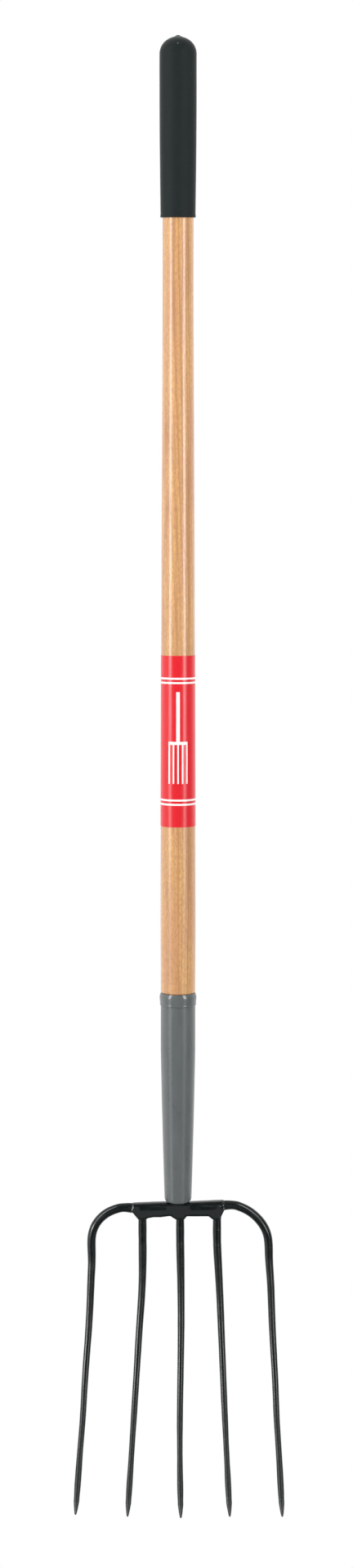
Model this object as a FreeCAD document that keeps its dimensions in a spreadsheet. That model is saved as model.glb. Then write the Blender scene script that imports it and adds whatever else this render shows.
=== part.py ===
import FreeCAD, Part
import math
import os

import Sketcher

# A five-tine hay fork: ash handle, slip-on vinyl end grip, film label, long steel cap ferrule
# and a one-piece forged head whose square tang is held in the handle by one nail.
#
# Frame: +Z up the handle, -Y to the front (the side the tines curve towards), +X to the right.
# The origin is on the handle's axis, level with the top of the head's shoulders.

# Driving dimensions in millimetres and degrees: (alias, value, meaning).
DIMENSIONS = [
    ("fit_gap", 0.05, "gap left between pieces that are pressed or shrunk together"),
    # end grip
    ("grip_top", 1218.6, "height of the crown of the grip, not counting the drip point"),
    ("grip_length", 182.7, "crown to mouth"),
    ("grip_radius", 19.1, "outside, over the straight stretch"),
    ("grip_mouth_radius", 18.1, "outside, just above the mouth's rounded lip"),
    ("grip_straight", 60.0, "length of the straight stretch that a spring clip takes"),
    ("grip_crown_radius", 20.8, "radius of the crown"),
    ("grip_shoulder_rim", 12.0, "distance from the axis at which the crown turns into the shoulder"),
    ("grip_end_wall", 4.0, "thickness over the end of the wood"),
    ("grip_lip", 1.5, "round at the mouth"),
    ("pip_radius", 1.4, "drip point on the crown: half the width of its blunt top"),
    ("pip_foot_radius", 6.5, "drip point: where its flank leaves the crown"),
    ("pip_flank", 19.0, "drip point: radius of its hollow flank"),
    ("pip_height", 1.5, "drip point: rise above the crown"),
    # wooden handle
    ("wood_top_radius", 16.12, "straight upper stretch"),
    ("wood_swell_radius", 18.62, "thickest place, above the ferrule"),
    ("wood_seat_radius", 18.35, "where the wood meets the ferrule's rim"),
    ("wood_seat_round", 1.1, "round on the wood's edge above the ferrule's rim"),
    ("wood_taper_top", 950.0, "height at which the swell starts"),
    ("wood_taper_bottom", 300.0, "height of the thickest place"),
    ("wood_taper_bow", 190000.0, "radius of the long convex taper"),
    ("wood_end_round", 11.0, "round at the top end, inside the grip"),
    # label
    ("label_top", 584.6, "upper edge"),
    ("label_bottom", 405.0, "lower edge"),
    ("label_film", 0.2, "film thickness"),
    ("label_top_radius", 17.82, "inside, at the upper edge"),
    ("label_bottom_radius", 18.43, "inside, at the lower edge"),
    # ferrule
    ("ferrule_wall", 1.1, "sheet thickness"),
    ("ferrule_foot", 0.6, "height of the closed end above the shoulders"),
    ("ferrule_radius", 18.35, "outside, over the straight stretch"),
    ("ferrule_foot_radius", 14.4, "outside, just above the rounded closed end"),
    ("ferrule_foot_round", 5.0, "round at the closed end"),
    ("ferrule_taper_top", 166.0, "height at which the taper starts"),
    ("ferrule_bow", 12000.0, "radius of the slightly convex taper"),
    ("rim_top", 227.0, "height of the hemmed rim"),
    ("rim_height", 13.2, "rim top to the hem's lower lip"),
    ("rim_radius", 19.62, "outside of the hem"),
    ("rim_lip_radius", 19.1, "outside of the hem's lower lip"),
    ("rim_roll", 4.9, "height over which the hem rolls in to its top"),
    ("rim_draw", 1.12, "how far the roll draws in from the outside of the hem"),
    ("tang_hole_radius", 9.3, "hole in the closed end"),
    # retaining nail
    ("nail_height", 150.0, "height of the nail's axis"),
    ("nail_radius", 1.6, "shank"),
    ("nail_head_radius", 3.6, "head"),
    ("nail_head_rise", 1.7, "head above the ferrule"),
    ("nail_seat", 18.05, "distance from the handle's axis to the underside of the head"),
    ("nail_point", 12.0, "how far past the handle's axis the point reaches"),
    # yoke of the forged head
    ("yoke_depth", 12.0, "front to back"),
    ("yoke_edge", 1.8, "round on the front and back edges"),
    ("yoke_half_width", 48.6, "axis to either end"),
    ("yoke_left_drop", 1.3, "the left shoulder sits this much lower than the middle"),
    ("yoke_right_rise", 1.9, "the right shoulder sits this much higher"),
    ("yoke_flare", 1.0, "the ends of the yoke lean out by this much at their feet"),
    ("yoke_belly", 14.6, "shoulders to the underside, left of the middle tine"),
    ("yoke_belly_right", 13.7, "shoulders to the underside, right of the middle tine"),
    ("yoke_nick", 13.3, "shoulders to the hollow beside the middle tine"),
    ("yoke_nick_start", 20.5, "middle tine's axis to the start of that hollow"),
    ("yoke_nick_end", 10.7, "middle tine's axis to the deepest place of that hollow"),
    ("web_foot", 17.5, "shoulders to the foot of each web"),
    ("web_step", 1.2, "drop of the step at the root of the inner left tine's web"),
    ("left_web_start", 5.1, "inner left tine's axis to that step"),
    ("left_web_reach", 12.3, "inner left tine's axis to the end of its web"),
    ("middle_web_reach", 7.0, "middle tine's axis to the right end of its web"),
    ("right_web_reach", 9.0, "inner right tine's axis to the left end of its web"),
    ("left_foot_rise", 2.0, "the yoke's left end stops this much above the arm's underside"),
    ("right_foot_rise", 1.0, "the yoke's right end stops this much above the arm's underside"),
    # tang
    ("tang_width", 11.6, "across the flats at the shoulders"),
    ("tang_tip_width", 7.0, "across the flats at the tip"),
    ("tang_length", 186.0, "shoulders to tip"),
    # tines: one curved dish, tips swept forward
    ("lean_back", 8.0, "degrees the tines lean back where they leave the yoke"),
    ("tip_sweep", 25.0, "degrees the tips point forward"),
    ("tine_start", 4.0, "depth below the shoulders at which the dish starts"),
    ("tine_reach", 329.0, "depth of the tips below the shoulders"),
    ("tine_radius", 4.65, "at the root of the dish, before it thins"),
    ("tine_thinning", 1.4, "power of the taper: 1 is steady, more thins sooner"),
    ("tine_neck_radius", 4.1, "pinched neck where a middle tine leaves the yoke"),
    ("tine_end_radius", 3.0, "where the point starts"),
    ("point_length", 16.0, "length of the drawn point"),
    ("point_fullness", 0.72, "radius half way down the point, as a share of the radius where it starts"),
    ("point_radius", 0.7, "blunt end of the point"),
    ("arm_radius", 4.85, "arms that carry the outer tines"),
    ("arm_root_share", 0.9, "radius of an arm's hidden root inside the yoke, as a share of the arm's"),
    ("left_arm_depth", 5.8, "arm's axis below the shoulders"),
    ("right_arm_depth", 3.0, "arm's axis below the shoulders"),
    ("arm_bend_start", 57.0, "distance from the axis at which each arm starts to turn down"),
    ("left_bend_depth", 42.0, "depth at which the left arm has turned down"),
    ("right_bend_depth", 43.7, "depth at which the right arm has turned down"),
    ("left_bend_fullness", 0.55, "0.55 is a round bend, less is flatter"),
    ("right_bend_fullness", 0.47, "0.55 is a round bend, less is flatter"),
]
# Each tine, left to right seen from the front, as it came off the anvil. Root and tip are places
# from the axis, kink is the share of its length at which it starts to splay, wave is a slight
# snaking, and length is a share of the full dish.
TINE_MEANINGS = ("root", "tip", "kink", "wave", "length")
TINES = {
    "outer_left": (-92.8, -108.9, 0.26, 0.0, 0.992),
    "inner_left": (-38.0, -53.7, 0.24, 0.0, 0.998),
    "middle": (2.3, 3.0, 0.12, 0.9, 1.002),
    "inner_right": (41.7, 55.0, 0.1, 0.2, 0.998),
    "outer_right": (97.0, 110.8, 0.12, 0.0, 0.998),
}
for tine, numbers in TINES.items():
    for meaning, number in zip(TINE_MEANINGS, numbers):
        DIMENSIONS.append((f"{tine}_{meaning}", number, f"{tine} tine: {meaning}"))

# Where the sections of a tine are taken, as shares of its length, and of an arm's bend.
NECK_STATIONS = (0.02, 0.045)
MIDDLE_TINE_STATIONS = (0.1, 0.25, 0.4, 0.55, 0.7, 0.85)
OUTER_TINE_STATIONS = (0.22, 0.34, 0.48, 0.62, 0.78)
BEND_STATIONS = (0, 0.2, 0.4, 0.6, 0.8, 1)

doc = FreeCAD.newDocument("hay_fork")
sheet = doc.addObject("Spreadsheet::Sheet", "dims")
for row, (alias, number, meaning) in enumerate(DIMENSIONS, start=1):
    sheet.set(f"A{row}", alias)
    sheet.set(f"B{row}", str(number))
    sheet.set(f"C{row}", meaning)
    sheet.setAlias(f"B{row}", alias)
doc.recompute()


def value(expression):
    """The number that an expression of the sheet's aliases comes to."""
    return float(sheet.evalExpression(expression))


def bind(owner, name, expression):
    """Binds a property to an expression of the sheet's aliases."""
    owner.setExpression(name, expression)


def origin_plane(body, role):
    """One of the body's own origin planes."""
    return next(item for item in body.Origin.OriginFeatures if item.Role == role)


def add_body(label):
    """An empty body, which is one piece of the fork."""
    body = doc.addObject("PartDesign::Body", label)
    body.Label = label
    return body


def attach(sketch, body, role, height=None):
    """Puts a sketch on one of its body's planes, height above it if given."""
    sketch.AttachmentSupport = [(origin_plane(body, role), "")]
    sketch.MapMode = "FlatFace"
    if height is not None:
        bind(sketch, "AttachmentOffset.Base.z", height)
    doc.recompute()


def arc_between(start, end, radius, turn):
    """The short arc from start to end; turn is +1 for anticlockwise and -1 for clockwise."""
    chord = end - start
    middle = (start + end) * 0.5
    rise = math.sqrt(max(radius**2 - (chord.Length / 2) ** 2, 0.0))
    across = FreeCAD.Vector(-chord.y, chord.x, 0).normalize()
    centre = middle + across * rise * turn
    first, last = (start, end) if turn > 0 else (end, start)
    first_angle = math.atan2(first.y - centre.y, first.x - centre.x)
    last_angle = math.atan2(last.y - centre.y, last.x - centre.x)
    circle = Part.Circle(centre, FreeCAD.Vector(0, 0, 1), radius)
    return Part.ArcOfCircle(circle, first_angle, last_angle)


def pin_point(sketch, edge, end, axis, expression):
    """Holds one coordinate of an edge's end at an expression, measured from the origin."""
    number = value(expression)
    if abs(number) < 1e-9:
        sketch.addConstraint(Sketcher.Constraint("PointOnObject", edge, end, -2 if axis == "X" else -1))
        return
    index = sketch.addConstraint(Sketcher.Constraint(f"Distance{axis}", -1, 1, edge, end, number))
    bind(sketch, f"Constraints[{index}]", expression)


def outline(body, name, role, corners, height=None):
    """A closed sketch. A corner is (x, y) or (x, y, radius, turn), where the last two bend
    the edge that leaves it; x, y and radius are expressions of the sheet's aliases."""
    sketch = body.newObject("Sketcher::SketchObject", name)
    attach(sketch, body, role, height)
    points = [FreeCAD.Vector(value(corner[0]), value(corner[1]), 0) for corner in corners]
    edges = []
    for index, corner in enumerate(corners):
        start = points[index]
        end = points[(index + 1) % len(points)]
        if len(corner) == 2:
            edges.append((sketch.addGeometry(Part.LineSegment(start, end)), 1, 2))
            continue
        turn = corner[3]
        arc = sketch.addGeometry(arc_between(start, end, value(corner[2]), turn))
        edges.append((arc, 1, 2) if turn > 0 else (arc, 2, 1))
    for index, corner in enumerate(corners):
        edge, first, last = edges[index]
        following = edges[(index + 1) % len(edges)]
        sketch.addConstraint(Sketcher.Constraint("Coincident", edge, last, following[0], following[1]))
        pin_point(sketch, edge, first, "X", corner[0])
        pin_point(sketch, edge, first, "Y", corner[1])
        if len(corner) == 4:
            bend = sketch.addConstraint(Sketcher.Constraint("Radius", edge, value(corner[2])))
            bind(sketch, f"Constraints[{bend}]", corner[2])
    doc.recompute()
    return sketch


def square(body, name, width, height):
    """A square sketch centred on the handle's axis, height above the shoulders."""
    half = f"({width}) / 2"
    corners = [(f"-{half}", f"-{half}"), (half, f"-{half}"), (half, half), (f"-{half}", half)]
    return outline(body, name, "XY_Plane", corners, height)


def circle_sketch(body, name, role, across, up, radius):
    """A sketch of one circle, its centre held by two expressions."""
    sketch = body.newObject("Sketcher::SketchObject", name)
    attach(sketch, body, role)
    centre = FreeCAD.Vector(value(across), value(up), 0)
    sketch.addGeometry(Part.Circle(centre, FreeCAD.Vector(0, 0, 1), value(radius)))
    pin_point(sketch, 0, 3, "X", across)
    pin_point(sketch, 0, 3, "Y", up)
    index = sketch.addConstraint(Sketcher.Constraint("Radius", 0, value(radius)))
    bind(sketch, f"Constraints[{index}]", radius)
    doc.recompute()
    return sketch


def revolve(body, sketch, axis="V_Axis"):
    """Turns a sketch round one of its own axes."""
    feature = body.newObject("PartDesign::Revolution", f"{body.Name}_turned")
    feature.Profile = sketch
    feature.ReferenceAxis = (sketch, [axis])
    feature.Angle = 360
    doc.recompute()
    return feature


def loft(body, kind, sketches):
    """An additive or subtractive loft from the first sketch to the last."""
    feature = body.newObject(f"PartDesign::{kind}", f"{body.Name}_{kind}")
    feature.Profile = sketches[0]
    feature.Sections = sketches[1:]
    doc.recompute()
    return feature


def nail_bore(body, radius, length):
    """Bores the nail's hole into a body from the handle's axis towards the back; a length adds
    the stretch from the axis towards the front. The volume has to fall, or the cut missed."""
    before = body.Shape.Volume
    sketch = circle_sketch(body, f"{body.Name}_nail_centre", "XZ_Plane", "0", "dims.nail_height", radius)
    bore = body.newObject("PartDesign::Pocket", f"{body.Name}_nail_bore")
    bore.Profile = sketch
    bore.SideType = "Two sides"
    bind(bore, "Length", "dims.rim_radius")
    bind(bore, "Length2", length)
    doc.recompute()
    if body.Shape.Volume >= before:
        raise RuntimeError(f"{body.Label}: the nail's bore cut nothing")


def make_end_grip():
    """Vinyl sleeve, closed and domed at the top, with a drip point and a rounded mouth."""
    body = add_body("end_grip")
    mouth = "dims.grip_top - dims.grip_length"
    bore = "dims.wood_top_radius + dims.fit_gap"
    bore_top = "dims.grip_top - dims.grip_end_wall"
    # The shoulder arc leaves the crown arc at the rim without a corner and ends upright.
    rim_sine = "dims.grip_shoulder_rim / dims.grip_crown_radius"
    rim_cosine = f"sqrt(1 - ({rim_sine}) ^ 2)"
    shoulder = f"(dims.grip_radius - dims.grip_shoulder_rim) / (1 - {rim_sine})"
    rim_height = f"dims.grip_top - dims.grip_crown_radius * (1 - {rim_cosine})"
    straight_top = f"{rim_height} - {shoulder} * {rim_cosine}"
    pip_foot = "dims.grip_top - dims.grip_crown_radius " \
               "+ sqrt(dims.grip_crown_radius ^ 2 - dims.pip_foot_radius ^ 2)"
    corners = [
        (bore, mouth),
        ("dims.grip_mouth_radius - dims.grip_lip", mouth, "dims.grip_lip", 1),
        ("dims.grip_mouth_radius", f"{mouth} + dims.grip_lip"),
        ("dims.grip_radius", f"{straight_top} - dims.grip_straight"),
        ("dims.grip_radius", straight_top, shoulder, 1),
        ("dims.grip_shoulder_rim", rim_height, "dims.grip_crown_radius", 1),
        ("dims.pip_foot_radius", pip_foot, "dims.pip_flank", -1),
        ("dims.pip_radius", "dims.grip_top + dims.pip_height"),
        ("0", "dims.grip_top + dims.pip_height"),
        ("0", bore_top),
        (f"{bore} - dims.wood_end_round", bore_top, "dims.wood_end_round", -1),
        (bore, f"{bore_top} - dims.wood_end_round"),
    ]
    revolve(body, outline(body, "grip_profile", "XZ_Plane", corners))
    return body


def make_wood_handle():
    """Ash handle: long taper, lower end turned down to fit the ferrule, bored for tang and nail."""
    body = add_body("wood_handle")
    top = "dims.grip_top - dims.grip_end_wall - dims.fit_gap"
    inside = "dims.ferrule_wall + dims.fit_gap"
    foot = f"dims.ferrule_foot + {inside}"
    corners = [
        ("0", foot),
        (f"dims.ferrule_foot_radius - dims.ferrule_foot_round", foot,
         f"dims.ferrule_foot_round - ({inside})", 1),
        (f"dims.ferrule_foot_radius - ({inside})", "dims.ferrule_foot + dims.ferrule_foot_round",
         "dims.ferrule_bow", 1),
        (f"dims.ferrule_radius - ({inside})", "dims.ferrule_taper_top"),
        (f"dims.ferrule_radius - ({inside})", "dims.rim_top + dims.fit_gap"),
        ("dims.wood_seat_radius - dims.wood_seat_round", "dims.rim_top + dims.fit_gap",
         "dims.wood_seat_round", 1),
        ("dims.wood_seat_radius", "dims.rim_top + dims.fit_gap + dims.wood_seat_round"),
        ("dims.wood_swell_radius", "dims.wood_taper_bottom", "dims.wood_taper_bow", 1),
        ("dims.wood_top_radius", "dims.wood_taper_top"),
        ("dims.wood_top_radius", f"{top} - dims.wood_end_round", "dims.wood_end_round", 1),
        ("dims.wood_top_radius - dims.wood_end_round", top),
        ("0", top),
    ]
    revolve(body, outline(body, "handle_profile", "XZ_Plane", corners))
    solid_volume = body.Shape.Volume
    loft(body, "SubtractiveLoft", [
        square(body, "tang_bore_mouth", "dims.tang_width + 2 * dims.fit_gap", "0"),
        square(body, "tang_bore_end", "dims.tang_tip_width + 2 * dims.fit_gap",
               "dims.tang_length + dims.fit_gap"),
    ])
    if body.Shape.Volume >= solid_volume:
        raise RuntimeError("wood_handle: the tang's bore cut nothing")
    nail_bore(body, "dims.nail_radius + dims.fit_gap", "dims.nail_point + dims.fit_gap")
    return body


def make_label_sleeve():
    """Printed film sleeve shrunk onto the handle."""
    body = add_body("label_sleeve")
    corners = [
        ("dims.label_bottom_radius", "dims.label_bottom"),
        ("dims.label_bottom_radius + dims.label_film", "dims.label_bottom"),
        ("dims.label_top_radius + dims.label_film", "dims.label_top"),
        ("dims.label_top_radius", "dims.label_top"),
    ]
    revolve(body, outline(body, "label_profile", "XZ_Plane", corners))
    return body


def make_ferrule():
    """Drawn steel cap: hemmed rim, straight tube, long taper, rounded closed end with a hole."""
    body = add_body("ferrule")
    lip = "dims.rim_top - dims.rim_height"
    bore = "dims.ferrule_radius - dims.ferrule_wall"
    fold = "(dims.rim_radius - dims.rim_draw - dims.ferrule_radius + dims.ferrule_wall) / 2"
    roll_radius = f"(dims.rim_draw ^ 2 + (dims.rim_roll - {fold}) ^ 2) / (2 * dims.rim_draw)"
    floor = "dims.ferrule_foot + dims.ferrule_wall"
    knee = "dims.ferrule_foot + dims.ferrule_foot_round"
    corners = [
        ("dims.tang_hole_radius", "dims.ferrule_foot"),
        ("dims.ferrule_foot_radius - dims.ferrule_foot_round", "dims.ferrule_foot",
         "dims.ferrule_foot_round", 1),
        ("dims.ferrule_foot_radius", knee, "dims.ferrule_bow", 1),
        ("dims.ferrule_radius", "dims.ferrule_taper_top"),
        ("dims.ferrule_radius", lip),
        ("dims.rim_lip_radius", lip),
        ("dims.rim_radius", f"{lip} + dims.rim_height / 2"),
        ("dims.rim_radius", "dims.rim_top - dims.rim_roll", roll_radius, 1),
        ("dims.rim_radius - dims.rim_draw", f"dims.rim_top - {fold}", fold, 1),
        (f"dims.rim_radius - dims.rim_draw - {fold}", "dims.rim_top", fold, 1),
        (bore, f"dims.rim_top - {fold}"),
        (bore, "dims.ferrule_taper_top", "dims.ferrule_bow", -1),
        ("dims.ferrule_foot_radius - dims.ferrule_wall", knee,
         "dims.ferrule_foot_round - dims.ferrule_wall", -1),
        ("dims.ferrule_foot_radius - dims.ferrule_foot_round", floor),
        ("dims.tang_hole_radius", floor),
    ]
    revolve(body, outline(body, "ferrule_profile", "XZ_Plane", corners))
    nail_bore(body, "dims.nail_radius + dims.fit_gap", "0.01")
    return body


def make_retaining_nail():
    """Round-headed nail driven in from the back through ferrule, wood and tang."""
    body = add_body("retaining_nail")
    cap_radius = "(dims.nail_head_radius ^ 2 + dims.nail_head_rise ^ 2) / (2 * dims.nail_head_rise)"
    corners = [
        ("0", "-dims.nail_point"),
        ("dims.nail_radius", "-dims.nail_point + 2 * dims.nail_radius"),
        ("dims.nail_radius", "dims.nail_seat"),
        ("dims.nail_head_radius", "dims.nail_seat", cap_radius, 1),
        ("0", "dims.nail_seat + dims.nail_head_rise"),
    ]
    revolve(body, outline(body, "nail_profile", "XY_Plane", corners, "dims.nail_height"))
    return body


def make_yoke():
    """Yoke of the head with its three web feet, and the square tang that rises from it."""
    body = add_body("yoke_and_tang")
    end = "dims.yoke_half_width"
    left_depth = "dims.left_arm_depth"
    right_depth = "dims.right_arm_depth"
    half_neck = "dims.tine_neck_radius"
    foot = "-dims.web_foot"
    corners = [
        (f"-{end}", "-dims.yoke_left_drop"),
        (f"-{end} - dims.yoke_flare", f"-{left_depth} - dims.arm_radius + dims.left_foot_rise"),
        (f"dims.inner_left_root - {half_neck}", foot),
        (f"dims.inner_left_root + {half_neck}", foot),
        ("dims.inner_left_root + dims.left_web_start", "-dims.yoke_belly - dims.web_step"),
        ("dims.inner_left_root + dims.left_web_reach", "-dims.yoke_belly"),
        ("dims.middle_root - dims.yoke_nick_start", "-dims.yoke_belly"),
        ("dims.middle_root - dims.yoke_nick_end", "-dims.yoke_nick"),
        (f"dims.middle_root - {half_neck}", foot),
        (f"dims.middle_root + {half_neck}", foot),
        ("dims.middle_root + dims.middle_web_reach", "-dims.yoke_belly_right"),
        ("dims.inner_right_root - dims.right_web_reach", "-dims.yoke_belly_right"),
        (f"dims.inner_right_root - {half_neck}", foot),
        (f"dims.inner_right_root + {half_neck}", foot),
        (f"dims.inner_right_root + {half_neck}", "-dims.yoke_belly"),
        (f"{end} + dims.yoke_flare", f"-{right_depth} - dims.arm_radius + dims.right_foot_rise"),
        (end, "dims.yoke_right_rise"),
        ("dims.tang_width", "0"),
        ("-dims.tang_width", "0"),
    ]
    sketch = outline(body, "yoke_outline", "XZ_Plane", corners)
    pad = body.newObject("PartDesign::Pad", "yoke_pad")
    pad.Profile = sketch
    pad.SideType = "Symmetric"
    bind(pad, "Length", "dims.yoke_depth")
    doc.recompute()

    edge_round = body.newObject("PartDesign::Fillet", "yoke_round")
    half_depth = value("dims.yoke_depth") / 2
    rounded = [
        f"Edge{number}" for number, edge in enumerate(pad.Shape.Edges, start=1)
        if all(abs(abs(vertex.Y) - half_depth) < 1e-6 for vertex in edge.Vertexes)
        and edge.Vertexes[0].Y * edge.Vertexes[1].Y > 0
    ]
    edge_round.Base = (pad, rounded)
    bind(edge_round, "Radius", "dims.yoke_edge")
    doc.recompute()

    loft(body, "AdditiveLoft", [
        square(body, "tang_foot", "dims.tang_width", "-dims.yoke_belly / 2"),
        square(body, "tang_shoulder", "dims.tang_width", "0"),
        square(body, "tang_tip", "dims.tang_tip_width", "dims.tang_length"),
    ])
    nail_bore(body, "dims.nail_radius + dims.fit_gap", "dims.tang_width")
    return body


def section(name, base, radius, axis, angle):
    """One round section of a tine: its centre, radius and tilt are bound to the sheet."""
    ring = doc.addObject("Part::Circle", name)
    ring.Placement = FreeCAD.Placement(FreeCAD.Vector(0, 0, 0), FreeCAD.Rotation(axis, 1))
    bind(ring, "Radius", radius)
    for letter, expression in zip("xyz", base):
        bind(ring, f"Placement.Base.{letter}", expression)
    bind(ring, "Placement.Rotation.Angle", angle)
    return ring


def dish_angle(tine, share):
    """Slope of a tine at a share of its own length; 0 is straight down."""
    return f"((dims.lean_back + dims.tip_sweep) * {share} * dims.{tine}_length - dims.lean_back) * 1 deg"


DISH_RADIUS = "((dims.tine_reach - dims.tine_start) " \
              "/ (sin(dims.tip_sweep * 1 deg) + sin(dims.lean_back * 1 deg)))"


def dish_point(tine, share):
    """Centre of a tine at a share of its length: a circular arc seen from the side; from the
    front, upright down to its kink and then running out to the tip."""
    slope = dish_angle(tine, share)
    run = f"(max({share}; dims.{tine}_kink) - dims.{tine}_kink) / (1 - dims.{tine}_kink)"
    sideways = f"dims.{tine}_root + (dims.{tine}_tip - dims.{tine}_root) * {run} " \
               f"+ dims.{tine}_wave * sin(360 deg * {run})"
    back = f"-{DISH_RADIUS} * (cos(dims.lean_back * 1 deg) - cos({slope}))"
    down = f"-dims.tine_start - {DISH_RADIUS} * (sin({slope}) + sin(dims.lean_back * 1 deg))"
    return (sideways, back, down)


def dish_section(tine, share, radius):
    """A section square to the dish."""
    name = f"{tine}_at_{round(share * 1000)}"
    lean = dish_angle(tine, share)
    return section(name, dish_point(tine, share), radius, FreeCAD.Vector(-1, 0, 0), lean)


def tapered_radius(share):
    """Radius of a tine's plain stretch, which thins towards the point."""
    left = round(1 - share, 4)
    return f"dims.tine_end_radius + (dims.tine_radius - dims.tine_end_radius) * {left} ^ dims.tine_thinning"


def lower_sections(tine, shares):
    """The plain stretch at the given shares, and the drawn point."""
    sections = [dish_section(tine, share, tapered_radius(share)) for share in shares]
    start = round(1 - value("dims.point_length / dims.tine_reach"), 3)
    halfway = round((1 + start) / 2, 3)
    sections.append(dish_section(tine, start, "dims.tine_end_radius"))
    sections.append(dish_section(tine, halfway, "dims.tine_end_radius * dims.point_fullness"))
    sections.append(dish_section(tine, 1, "dims.point_radius"))
    return sections


def loft_tine(tine, sections):
    """A smooth solid through all the sections of one tine."""
    rod = doc.addObject("Part::Loft", f"{tine}_tine")
    rod.Sections = sections
    rod.Solid = True
    rod.Ruled = False
    doc.recompute()
    return rod


def make_middle_tine(tine):
    """A tine that drops from the yoke: pinched neck, then a steady taper."""
    neck = [dish_section(tine, share, "dims.tine_neck_radius") for share in NECK_STATIONS]
    return loft_tine(tine, neck + lower_sections(tine, MIDDLE_TINE_STATIONS))


def bend_section(tine, side, share):
    """A section of the arm's bend, at a share of the quarter turn. The bend is a cubic curve
    from level to upright whose fullness sets how far its corner swells."""
    word = "left" if side < 0 else "right"
    fullness = f"dims.{word}_bend_fullness"
    rest = 1 - share
    run = f"({3 * rest * share**2} + {share**3} + {3 * rest**2 * share} * {fullness})"
    fall = f"({share**3} + {3 * rest * share**2} * (1 - {fullness}))"
    across = f"{side} * dims.arm_bend_start + (dims.{tine}_root - {side} * dims.arm_bend_start) * {run}"
    top = f"dims.{word}_arm_depth"
    down = f"-{top} - (dims.{word}_bend_depth - {top}) * {fall}"
    radius = f"dims.arm_radius + (dims.tine_radius - dims.arm_radius) * {share}"
    base = (across, f"dims.lean_back / 2 * {share**2}", down)
    turned = f"{90 * rest} * 1 deg"
    name = f"{tine}_bend_{round(share * 100)}"
    return section(name, base, radius, FreeCAD.Vector(0, -side, 0), turned)


def make_outer_tine(tine, side):
    """A tine on its arm: level out of the yoke, round the bend, then down the dish."""
    word = "left" if side < 0 else "right"
    level = section(
        f"{tine}_in_yoke",
        (f"{side} * (dims.yoke_half_width - dims.yoke_depth)", "0", f"-dims.{word}_arm_depth"),
        "dims.arm_radius * dims.arm_root_share", FreeCAD.Vector(0, -side, 0), "90 deg")
    bend = [bend_section(tine, side, share) for share in BEND_STATIONS]
    return loft_tine(tine, [level] + bend + lower_sections(tine, OUTER_TINE_STATIONS))


def make_fork_head():
    """The forged head: yoke, tang and five tines are one piece of steel."""
    yoke = make_yoke()
    tines = [
        make_outer_tine("outer_left", -1),
        make_middle_tine("inner_left"),
        make_middle_tine("middle"),
        make_middle_tine("inner_right"),
        make_outer_tine("outer_right", 1),
    ]
    head = doc.addObject("Part::MultiFuse", "fork_head")
    head.Label = "fork_head"
    head.Shapes = [yoke] + tines
    doc.recompute()
    return head


def check_and_write(pieces):
    """Stops on any failed object, then writes each piece to a file named after its label."""
    for item in doc.Objects:
        if "Invalid" in item.State or "Error" in item.State:
            raise RuntimeError(f"{item.Label} failed: {item.State}")
    for piece in pieces:
        shape = piece.Shape
        if shape.isNull() or not shape.isValid() or len(shape.Solids) != 1:
            raise RuntimeError(f"{piece.Label} is not one valid solid")
    os.makedirs("parts", exist_ok=True)
    for piece in pieces:
        piece.Shape.exportStep(f"parts/{piece.Label}.step")
        print(f"{piece.Label}: {piece.Shape.Volume / 1000:.1f} cm3")


PIECES = [
    make_end_grip(),
    make_wood_handle(),
    make_label_sleeve(),
    make_ferrule(),
    make_retaining_nail(),
    make_fork_head(),
]
doc.recompute()
check_and_write(PIECES)
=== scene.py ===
import math

import bmesh
import bpy
import numpy as np
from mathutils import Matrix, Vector, noise


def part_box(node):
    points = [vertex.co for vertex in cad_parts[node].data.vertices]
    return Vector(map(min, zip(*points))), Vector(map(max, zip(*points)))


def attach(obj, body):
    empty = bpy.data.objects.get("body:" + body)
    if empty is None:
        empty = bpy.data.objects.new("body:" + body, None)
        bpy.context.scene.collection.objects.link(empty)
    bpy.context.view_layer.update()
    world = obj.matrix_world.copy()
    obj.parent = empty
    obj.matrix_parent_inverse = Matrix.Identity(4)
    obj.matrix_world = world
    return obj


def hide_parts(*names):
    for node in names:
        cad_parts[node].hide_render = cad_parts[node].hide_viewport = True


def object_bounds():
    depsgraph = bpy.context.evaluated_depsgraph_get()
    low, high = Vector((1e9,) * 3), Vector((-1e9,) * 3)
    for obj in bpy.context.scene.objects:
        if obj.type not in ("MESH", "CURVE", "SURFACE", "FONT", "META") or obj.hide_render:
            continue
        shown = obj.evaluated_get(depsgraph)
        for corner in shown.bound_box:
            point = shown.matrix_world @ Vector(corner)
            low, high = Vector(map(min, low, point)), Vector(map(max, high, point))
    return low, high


# A five-tine hay fork standing upright: ash handle, vinyl end grip, red film label, painted steel
# ferrule, forged and enamelled head, and the nail that holds the head's tang.
# Metres, +Z up the handle, -Y to the front. Lengths below are written in millimetres times MM.

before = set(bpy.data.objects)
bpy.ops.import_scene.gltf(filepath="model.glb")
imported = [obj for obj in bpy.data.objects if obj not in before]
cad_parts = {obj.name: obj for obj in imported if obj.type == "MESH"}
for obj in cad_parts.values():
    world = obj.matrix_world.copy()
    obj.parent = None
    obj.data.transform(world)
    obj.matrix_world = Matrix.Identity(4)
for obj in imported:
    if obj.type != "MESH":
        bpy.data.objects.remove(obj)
cad_low, cad_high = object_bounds()

MM = 0.001


# ---------------------------------------------------------------- mesh helpers

def arc(centre, radius, start, end, steps):
    """Points (distance from the axis, height) along an arc; the angles are in degrees."""
    angles = np.radians(np.linspace(start, end, steps + 1))
    return [(centre[0] + radius * math.cos(a), centre[1] + radius * math.sin(a)) for a in angles]


def bowed(start, end, bow, steps):
    """Points from start to end that swell outwards by bow at the middle; end is left out."""
    points = []
    for step in range(steps):
        share = step / steps
        swell = 4 * bow * share * (1 - share)
        points.append((start[0] + (end[0] - start[0]) * share + swell,
                       start[1] + (end[1] - start[1]) * share))
    return points


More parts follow.
